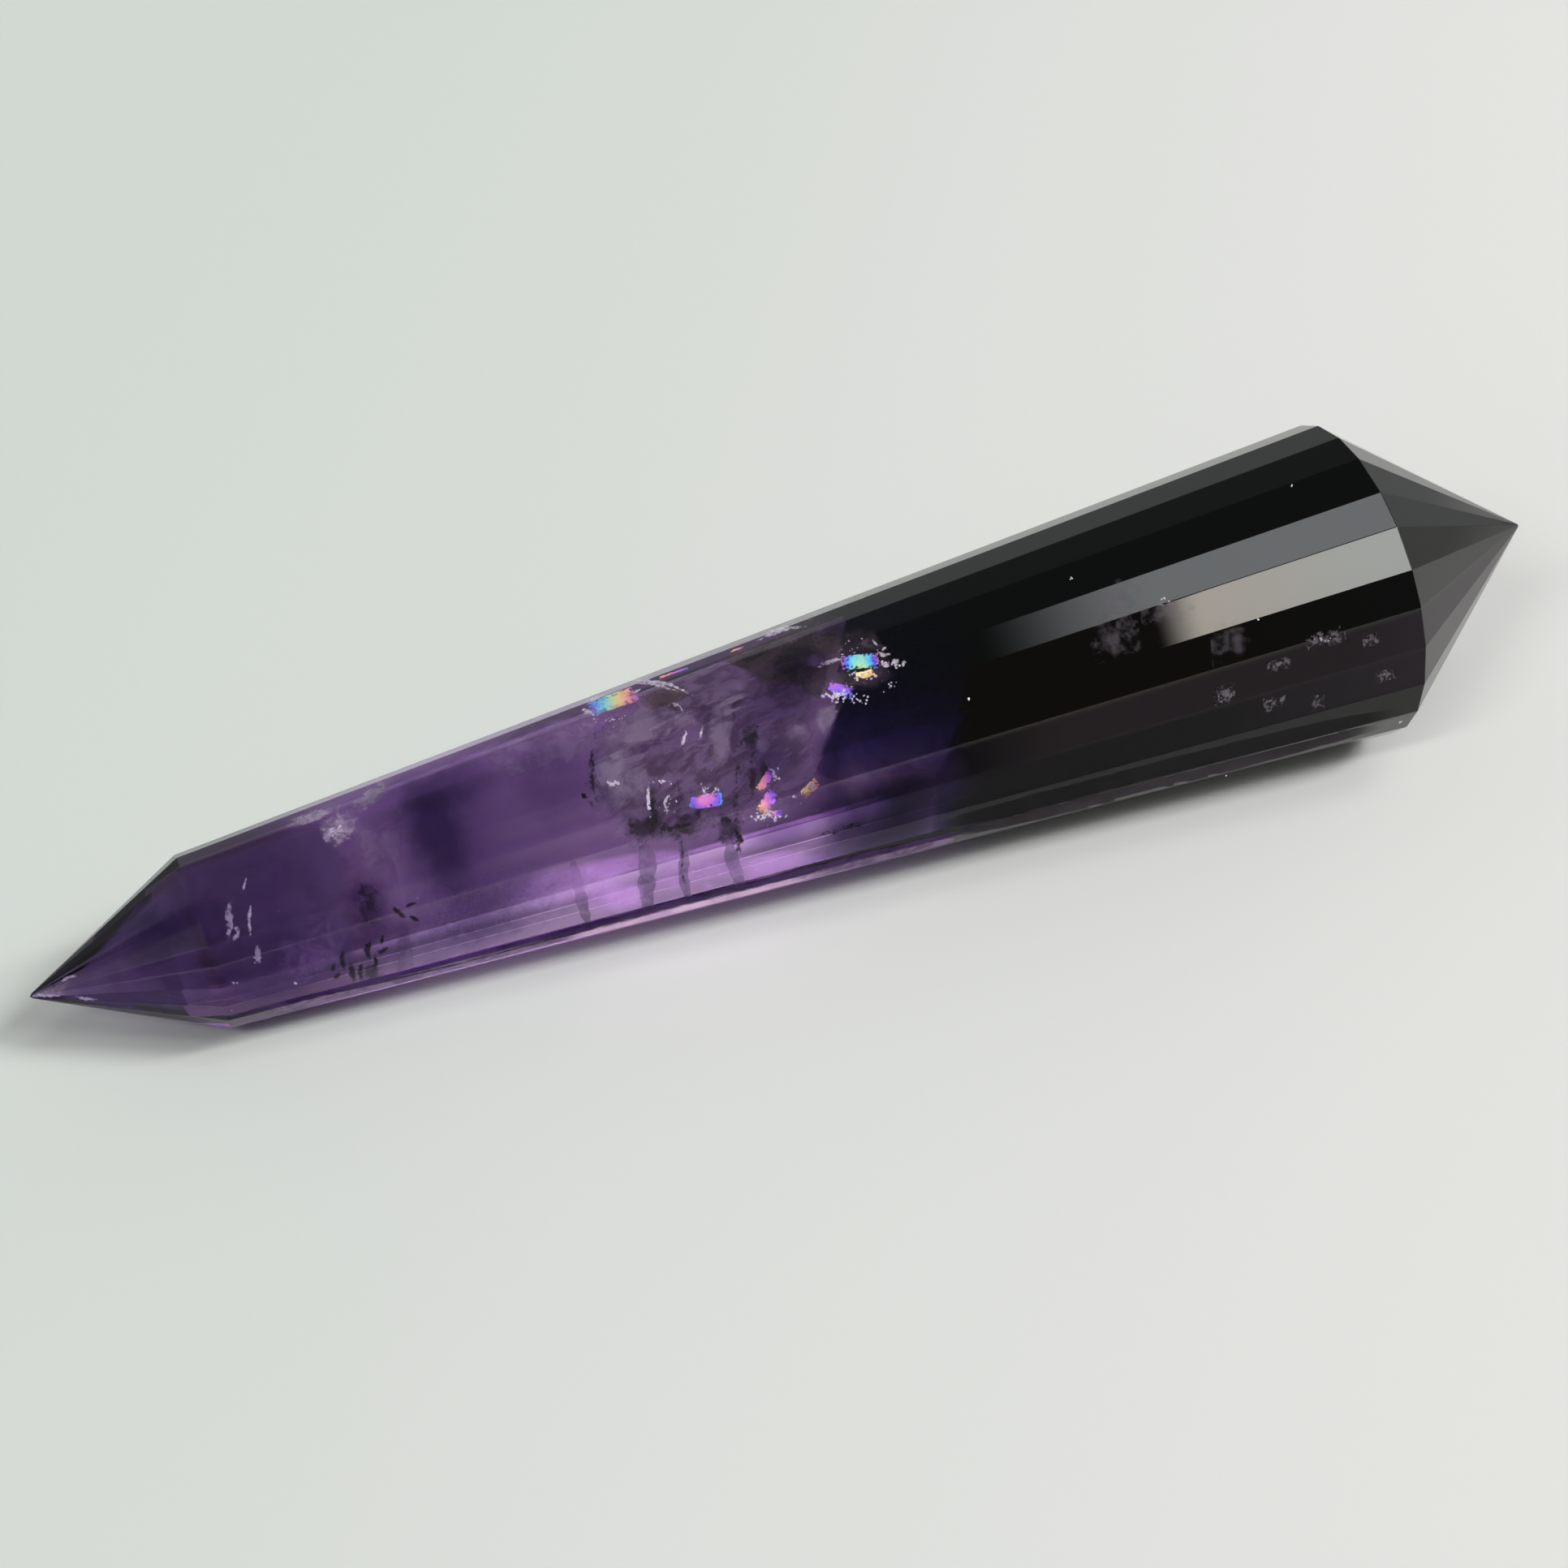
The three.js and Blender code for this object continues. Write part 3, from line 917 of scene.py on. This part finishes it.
# %% White streaks
STREAKS = (
    (((287, 1102), (281, 1120), (284, 1140), (280, 1162)), 10, 0.3),
    (((288, 1138), (295, 1150), (285, 1160)), 8, 0.3),
    (((309, 1114), (307, 1134), (308, 1154)), 6, 0.3),
    (((303, 1080), (299, 1100)), 4, 0.3),
    (((317, 1163), (318, 1190)), 10, 0.3),
    (((44, 1225), (58, 1227), (78, 1227)), 5, 0.2),
    (((92, 1228), (106, 1231), (122, 1231)), 5, 0.2),
    (((70, 1214), (82, 1205), (100, 1200)), 5, 0.3),
    (((720, 869), (731, 862), (745, 856)), 6, 0.6),
    (((716, 874), (722, 876), (730, 878)), 7, 0.8),
    (((778, 855), (792, 848)), 4, 0.6),
    (((784, 842), (804, 842), (836, 852)), 5, 0.8),
    (((770, 838), (800, 839), (830, 844), (862, 862)), 5, 0.7),
    (((822, 866), (836, 868), (848, 884)), 4, 1.2),
    (((848, 898), (843, 910), (838, 922)), 5, 1.2),
    (((866, 892), (864, 904), (860, 916)), 5, 1.2),
    (((930, 790), (950, 781), (972, 774), (994, 772)), 6, 0.3),
    (((938, 785), (962, 773), (986, 772)), 5, 0.3),
    (((1006, 823), (1020, 816), (1038, 811)), 7, 0.3),
    (((1080, 800), (1088, 808), (1098, 806)), 6, 0.3),
    (((1074, 787), (1082, 797)), 5, 0.3),
    (((1086, 802), (1090, 798), (1092, 800)), 5, 0.3),
    (((1088, 822), (1096, 818)), 7, 0.3),
    (((1100, 818), (1104, 814), (1108, 817)), 8, 0.3),
    (((1112, 822), (1115, 813)), 6, 0.3),
    (((864, 966), (868, 977)), 5, 0.8),
    (((800, 962), (798, 980), (800, 1003)), 5, 0.8),
    (((824, 978), (818, 990), (824, 1002)), 6, 0.9),
    (((946, 945), (954, 950), (952, 960)), 5, 0.8),
    (((992, 974), (1000, 970), (1006, 963)), 9, 0.5),
    (((934, 1004), (944, 998), (956, 1002)), 6, 0.6),
)
# Crushed edges of a crack: they scatter light like frost, and have a little painted light of their own.
add_ribbons("white_streaks", STREAKS, film_material(
    "frosted_crack_edge", ("cfc3dc", "f8f2fa"), 0.95, 0.35 * MM, 2.0, 0.7, corner=2.5, gathered=0.2))

# %% Pits and hatching
PITS = (
    (((424, 1164), (421, 1182), (425, 1198)), 8, 0.2),
    (((431, 1180), (434, 1198), (438, 1213)), 11, 0.2),
    (((446, 1184), (443, 1198), (447, 1210)), 9, 0.2),
    (((458, 1156), (452, 1170), (457, 1187)), 10, 0.2),
    (((462, 1171), (470, 1173), (480, 1166)), 7, 0.2),
    (((460, 1175), (464, 1187), (459, 1198)), 8, 0.2),
    (((472, 1150), (470, 1164)), 6, 0.2),
    (((412, 1186), (409, 1198)), 7, 0.2),
    (((482, 1115), (490, 1124), (503, 1132)), 8, 0.2),
    (((502, 1127), (509, 1131), (518, 1136)), 7, 0.2),
    (((499, 1118), (507, 1114), (515, 1112)), 6, 0.2),
    (((420, 1199), (411, 1207)), 8, 0.2),
)
HATCH = (
    (((733, 962), (760, 960), (796, 964)), 5, 1.0),
    (((740, 945), (758, 934), (778, 924)), 5, 1.0),
    (((746, 951), (766, 940), (786, 930)), 5, 1.0),
    (((744, 936), (760, 928), (780, 918)), 5, 1.0),
    (((754, 957), (772, 947), (790, 938)), 5, 1.0),
    (((860, 884), (900, 862), (940, 850)), 8, 1.2),
    (((850, 905), (890, 880), (930, 866)), 6, 1.2),
    (((800, 900), (840, 880), (870, 872)), 6, 1.2),
)
# Small hollows from etching, seen from inside: dark commas.
add_ribbons("black_pits", PITS, film_material(
    "dark_etch_pit", ("140c1e", "2c1e3a"), 0.95, 0.5 * MM, 1.3, 0.6, corner=2.5))
# The bubbles of the pale hazes, healed in fine lines side by side.
add_ribbons("hatched_healing", HATCH, pale_haze)

# %% [markdown]
# ## Painted shade and light along the lowest facets
# The lowest facets that the camera sees stand steeply to it, so they would mirror the paper strongly,
# whatever their tint. In the photograph they are dark at the dark end, with pale and dull lines where light
# from inside comes out. Thin matt films just over the surface paint that: the dark ones are painted shade
# over the mirrors, and the pale and dull ones painted light. Rougher facets would not, because they send
# back as much light, only more widely.

# %% Lower lines
FILM_LIFT = 0.02             # millimetres over the surface
DARK_LINE = (((292, 1249), (350, 1236), (450, 1212), (550, 1188), (650, 1161), (750, 1136), (850, 1109),
              (950, 1085), (1050, 1058), (1150, 1034), (1230, 1013)), 10)
PALE_LINE = (((690, 1158), (750, 1143), (850, 1117), (950, 1092), (1030, 1071)), 10)
GREY_LINE = (((1170, 1029), (1250, 1010), (1400, 972), (1500, 946), (1600, 920), (1712, 892)), 18)
DIM_LINE = (((1150, 1019), (1250, 995), (1400, 957), (1550, 919), (1640, 897), (1728, 876)), 25)
DULL_LINES = (
    (((320, 1249), (400, 1230), (450, 1218), (550, 1193), (650, 1167), (730, 1147)), 10),
    (((975, 1084), (1050, 1065), (1100, 1052), (1190, 1030)), 10),
)
LOWER_LINES = (
    # piece, material, colours, density, size of its patches in millimetres, how ragged, how square, light
    # gathered, and its lines, each with its width in pixels. Painted shade looks violet along the edge, grey
    # to black along the dark end's edge and side, and painted light that comes out at the edge looks pink or
    # dull mauve.
    ("dark_lower_edge", "painted_violet_edge_shade", ("36244a", "543e6a"), 0.88, 5, 0.4, 8.0, 0.0,
     (DARK_LINE,)),
    ("grey_lower_edge", "painted_grey_edge_shade", ("3f393f", "4b454c"), 0.70, 4, 0.4, 8.0, 0.0, (GREY_LINE,)),
    ("dark_lower_side", "painted_dark_side_shade", ("0c090c", "181318"), 0.34, 6, 0.3, 8.0, 0.0, (DIM_LINE,)),
    ("pale_lower_edge", "pale_pink_lit_edge", ("c49fc8", "ecc8ea"), 0.92, 3, 0.5, 4.0, 0.2, (PALE_LINE,)),
    ("dull_lower_edges", "dull_mauve_lit_edge", ("806a8c", "a892b4"), 0.75, 2, 0.8, 8.0, 0.0, DULL_LINES),
)
for name, film_name, codes, density, grain, ragged, corner, gathered, lines in LOWER_LINES:
    add_films(name, [ribbon(path, width, -FILM_LIFT * MM, chance, 40, 0.05) for path, width in lines],
              film_material(film_name, codes, density, grain * MM, ragged, 0.2, corner, gathered, gloss=0.0))

# %% [markdown]
# ## Spots on the dark end
# On the black facets the photograph shows faint grey clouds and speckles, where the polish cut through
# traces of milky quartz. A texture in the stone's own colour could show them, but there the surface mirrors
# the room. So they are films too, a hair over the surface.

# %% Milky and speckled spots
SPOT_LIFT = 0.03             # millimetres over the surface
MILKY = (
    # four pixels
    ((1336, 756), (1398, 738), (1408, 806), (1350, 826)),
    ((1345, 722), (1420, 702), (1424, 748), (1352, 768)),
    ((1400, 745), (1470, 728), (1474, 760), (1410, 778)),
    ((1490, 770), (1540, 760), (1540, 812), (1494, 822)),
)
SPECKS = (
    ((1606, 784), (1656, 770), (1660, 792), (1612, 802)),
    ((1678, 784), (1700, 778), (1700, 794), (1680, 798)),
    ((1494, 846), (1522, 840), (1522, 864), (1496, 870)),
    ((1560, 816), (1590, 808), (1592, 824), (1562, 830)),
    ((1614, 858), (1632, 854), (1632, 872), (1616, 876)),
    ((1556, 860), (1584, 856), (1584, 872), (1558, 878)),
    ((1694, 828), (1720, 822), (1720, 836), (1696, 842)),
    ((1424, 740), (1452, 732), (1452, 742), (1426, 748)),
)
# Milky quartz, ground flat with the rest: faint grey clouds on the black.
milky = film_material("milky_quartz_film", ("564e5a", "857c88"), 0.22, 1.2 * MM, 2.2, 1.2, corner=2.0)
# Milky quartz in fine grains: grey speckles.
speckled = film_material("speckled_quartz_film", ("5a525e", "a8a0ac"), 0.34, 0.4 * MM, 3.2, 1.4, corner=2.0)
for name, places, material in (("milky_spots", MILKY, milky), ("speckled_spots", SPECKS, speckled)):
    add_patches(name, [(corners, -SPOT_LIFT) for corners in places], material, 8, 8)

# %% [markdown]
# ## Rainbows
# Where the crack never healed, a film of air is left, thinner than a hair is wide. It mirrors the window in
# the colours of a soap film. A flake shows its rainbow only when it stands halfway between the eye and the
# light, so each one is turned to that direction. Their colours run across them in bands.

# %% Rainbow flakes
WINDOW = unit(np.array((0.70, -0.37, 0.61)))     # towards the middle of the large window
FLAKES = (
    # pixel of its middle, depth, length and width in millimetres, turn of its long side in degrees, and the
    # film's thickness, counted in rounds of colour: at one end, at the other, and how much thicker between
    ((754, 863), 1.0, 3.4, 1.7, 24, (0.02, 0.80, 0.00)),
    ((1060, 815), 0.5, 2.6, 1.1, 8, (-0.16, -0.20, 0.52)),
    ((1066, 831), 0.5, 1.3, 0.5, 20, (0.50, 0.60, 0.00)),
    ((1036, 850), 0.5, 1.7, 0.8, -20, (0.90, 1.05, 0.00)),
    ((870, 987), 0.9, 2.4, 0.9, 12, (0.16, 0.20, -0.36)),
    ((944, 961), 0.9, 1.7, 0.6, 55, (0.66, 0.95, 0.00)),
    ((945, 988), 0.9, 1.6, 0.8, 58, (0.58, 1.00, 0.00)),
    ((956, 1002), 0.9, 1.0, 0.4, 20, (0.70, 1.00, 0.00)),
    ((998, 971), 0.7, 1.4, 0.6, 45, (0.58, 0.66, 0.00)),
    ((830, 829), 0.6, 2.2, 0.30, 22, (0.62, 1.00, 0.00)),
    ((908, 800), 0.6, 1.0, 0.26, 22, (0.60, 0.80, 0.00)),
)


def flake(pixel, deep, long_side, short_side, turn, rows=10, columns=20):
    """A sheet that mirrors the window to the eye. Its normal is halfway between the way back to the eye and
    the way to the window, both as they run inside the stone."""
    _, normals, views, _ = look([pixel])
    to_window = -bend(-WINDOW[None], normals)[0]
    normal = unit(to_window - views[0])
    level = unit(np.cross(np.cross(normal, right), normal))
    steep = np.cross(normal, level)
    turn = np.radians(turn)
    along = (np.cos(turn) * level + np.sin(turn) * steep) * long_side / 2
    aside = (np.cos(turn) * steep - np.sin(turn) * level) * short_side / 2
    signs = np.array(((-1, 1), (1, 1), (1, -1), (-1, -1)))
    corners = seen_inside([pixel], deep)[0] + signs[:, :1] * along + signs[:, 1:] * aside
    points, uv = spread(corners, rows, columns)
    return grid_of(points, rows, columns), uv


def film_thickness(uv, start, end, rise):
    """From start to end with u, a little more with v, and rise more in the middle by a parabola."""
    u, v = uv[:, 0], uv[:, 1]
    return start + (end - start) * u - 0.12 * (1 - v) + rise * (1 - (2 * u - 1) ** 2)


# %% The air film
# Air between two walls of quartz: it mirrors in the colours of its own thickness, and rough spots break it.
FILM_DRIFT = 0.3             # rounds of colour by which the film's thickness wanders
FIRST_ROUND = 0.85           # where in a round of colour a thickness of 0 stands
SPOT_BITE = (8.0, -3.6)      # how hard the rough spots bite: slope and offset of the noise
RIM_SLOPE = 2.4              # how fast the film thins out at its rim
BAND_COLOURS = ("5a68dc", "60c0e8", "98e2c0", "e6e290", "f0b888", "e68cb8", "a068d8", "5a68dc")
material, tree = new_material("air_film_in_crack")
points = add_node(tree, "TexCoord")
place = points.outputs["Object"]
thickness = add_node(tree, "Attribute", attribute_name="film_thickness").outputs["Fac"]
film = add_node(tree, "TexNoise", place, Scale=1 / (0.5 * MM), Detail=4, Roughness=0.6)
rounds = add_node(tree, "Math.MULTIPLY_ADD", film, FILM_DRIFT, thickness)
rounds = add_node(tree, "Math.ADD", rounds, FIRST_ROUND)
bands = add_node(tree, "ValToRGB", add_node(tree, "Math.FRACT", rounds))
ramp_stops = bands.color_ramp.elements
for i, code in enumerate(BAND_COLOURS):
    stop = ramp_stops[i] if i < 2 else ramp_stops.new(1.0)
    stop.position = i / (len(BAND_COLOURS) - 1)
    stop.color = colour(code)
breaks = add_node(tree, "TexNoise", place, Scale=1 / (0.25 * MM), Detail=4, Roughness=0.7)
bites = add_node(tree, "Math.MULTIPLY_ADD", breaks, *SPOT_BITE)
both = add_node(tree, "Math.MULTIPLY_ADD", inward(tree, points, 4.0), RIM_SLOPE, bites)
alpha = add_node(tree, "Math.MULTIPLY", add_node(tree, "MapRange", both, 0.0, 1.0, **SMOOTH), 0.9)
air = add_node(tree, "BsdfPrincipled", Base_Color=bands, Metallic=1.0, Roughness=0.42, Alpha=alpha)
add_node(tree, "OutputMaterial", air)

sheets = [flake(pixel, deep * MM, a * MM, b * MM, turn) for pixel, deep, a, b, turn, _ in FLAKES]
thick = [film_thickness(uv, *film_spread) for (_, uv), (*_, film_spread) in zip(sheets, FLAKES)]
flakes = add_films("rainbow_flakes", sheets, material)
stored = flakes.data.attributes.new("film_thickness", "FLOAT", "POINT")
stored.data.foreach_set("value", np.concatenate(thick))

# %% [markdown]
# ## Crumbs, dust and chips
# The broken rim of the crack and stray grains catch the light as white points, and so do a few chips on
# the surface of the dark end, whose depth is 0. A grain is an icosahedron, pulled out of shape and turned
# at random, because at this size only its sparkle shows.

# %% The shape of a grain
GOLDEN = (1 + 5 ** 0.5) / 2
NO_QUADS = np.empty((0, 4), int)
signs = np.array([(a, b) for a in (-1, 1) for b in (-1, 1)]) * (1, GOLDEN)
flat_corners = np.column_stack((signs, np.zeros(4)))
ICOSAHEDRON = unit(np.concatenate([np.roll(flat_corners, turn, axis=1) for turn in (0, 1, 2)]))


def triangles_of(corners):
    """The outward triangles of a regular solid: every three corners that are each other's neighbours."""
    apart = np.linalg.norm(corners[:, None] - corners[None], axis=2)
    near = (apart < 1.1 * apart[apart > 0].min()) & (apart > 0)
    i, j, k = np.nonzero(near[:, :, None] & near[None] & near[:, None, :])
    once = (i < j) & (j < k)
    faces = np.stack((i, j, k), axis=1)[once]
    turned = np.linalg.det(corners[faces]) < 0
    faces[turned] = faces[turned][:, ::-1]
    return faces


GRAIN_FACES = triangles_of(ICOSAHEDRON)


def grains_at(middles, sizes, chance):
    """One body per middle: an icosahedron with three random half sizes, turned by a random rotation, which
    is what the QR method makes of a random matrix."""
    turns, _ = np.linalg.qr(chance.normal(size=(len(middles), 3, 3)))
    turns *= np.sign(np.linalg.det(turns))[:, None, None]
    stretch = sizes[:, None] / 2 * chance.uniform(0.5, 1.2, (len(middles), 3))
    points = middles[:, None] + (ICOSAHEDRON * stretch[:, None]) @ turns
    return [(body, NO_QUADS, GRAIN_FACES) for body in points]


# %% Grains
SWARMS = (
    # pixel, spread in pixels along and across, depth, grain size in millimetres, how many
    ((1104, 819), (18, 6), 0.4, 0.20, 22),
    ((1194, 862), (1, 3), 0.0, 0.16, 4),
    ((1592, 598), (1, 1), 0.0, 0.14, 2),
    ((1320, 713), (3, 4), 0.0, 0.12, 4),
    ((1435, 738), (8, 3), 0.0, 0.12, 8),
    ((1550, 763), (1, 1), 0.0, 0.12, 2),
    ((1511, 956), (1, 1), 0.0, 0.12, 1),
    ((1726, 890), (3, 2), 0.0, 0.12, 5),
    ((1632, 786), (16, 5), 0.0, 0.09, 8),
    ((1506, 858), (8, 6), 0.0, 0.07, 4),
    ((1034, 856), (18, 10), 0.4, 0.24, 40),
    ((1048, 812), (26, 22), 0.4, 0.12, 26),
    ((1060, 862), (14, 6), 0.5, 0.16, 14),
    ((1062, 832), (16, 6), 0.5, 0.20, 16),
    ((1095, 840), (14, 12), 0.5, 0.12, 10),
    ((748, 884), (20, 8), 0.9, 0.14, 18),
    ((722, 876), (8, 6), 0.8, 0.22, 8),
    ((757, 964), (7, 2), 0.7, 0.26, 9),
    ((812, 962), (16, 3), 0.9, 0.16, 10),
    ((799, 985), (3, 20), 0.7, 0.20, 18),
    ((826, 990), (10, 12), 1.0, 0.12, 12),
    ((943, 1006), (20, 5), 0.6, 0.22, 34),
    ((956, 955), (6, 12), 0.8, 0.14, 8),
    ((980, 982), (3, 1), 0.8, 0.22, 3),
    ((868, 972), (5, 6), 0.9, 0.18, 7),
    ((882, 975), (6, 4), 0.9, 0.14, 5),
    ((412, 1023), (14, 7), 0.4, 0.20, 22),
    ((515, 1107), (2, 2), 0.6, 0.20, 2),
    ((318, 1182), (4, 6), 0.4, 0.18, 5),
    ((363, 1211), (2, 3), 0.4, 0.24, 3),
    ((287, 1211), (3, 2), 0.4, 0.16, 3),
    ((343, 1123), (1, 1), 0.4, 0.14, 1),
    ((285, 1245), (2, 1), 0.4, 0.16, 2),
    ((655, 1105), (30, 20), 1.0, 0.08, 10),
    ((824, 869), (1, 1), 0.8, 0.20, 1),
    ((960, 1000), (60, 30), 1.4, 0.08, 14),
)
chance = np.random.default_rng(7)
bodies = []
for pixel, spread_out, deep, size, count in SWARMS:
    pixels = np.array(pixel) + chance.normal(size=(count, 2)) * np.array(spread_out) * 0.5
    middles = seen_inside(pixels, deep * MM * chance.uniform(0.8, 1.3, count))
    bodies += grains_at(middles, size * MM * chance.uniform(0.5, 1.3, count), chance)
# Quartz broken to crumbs: frosted white with a glint, and a painted light of their own, as the hazes have.
sparkle, tree = new_material("broken_quartz_grains")
place = add_node(tree, "TexCoord").outputs["Object"]
facing = add_node(tree, "TexNoise", place, Scale=1 / (0.2 * MM), Detail=3)
shade = colour_step(tree, facing, 0.35, 0.65, "d8cce4", "fdfbff")
grain = add_node(tree, "BsdfPrincipled", Base_Color=shade, Roughness=0.25,
                 Emission_Color=colour("f4ecf8"), Emission_Strength=0.30)
add_node(tree, "OutputMaterial", grain)
place_in_stone(new_mesh_object("white_grains", bodies, sparkle, smooth=False))
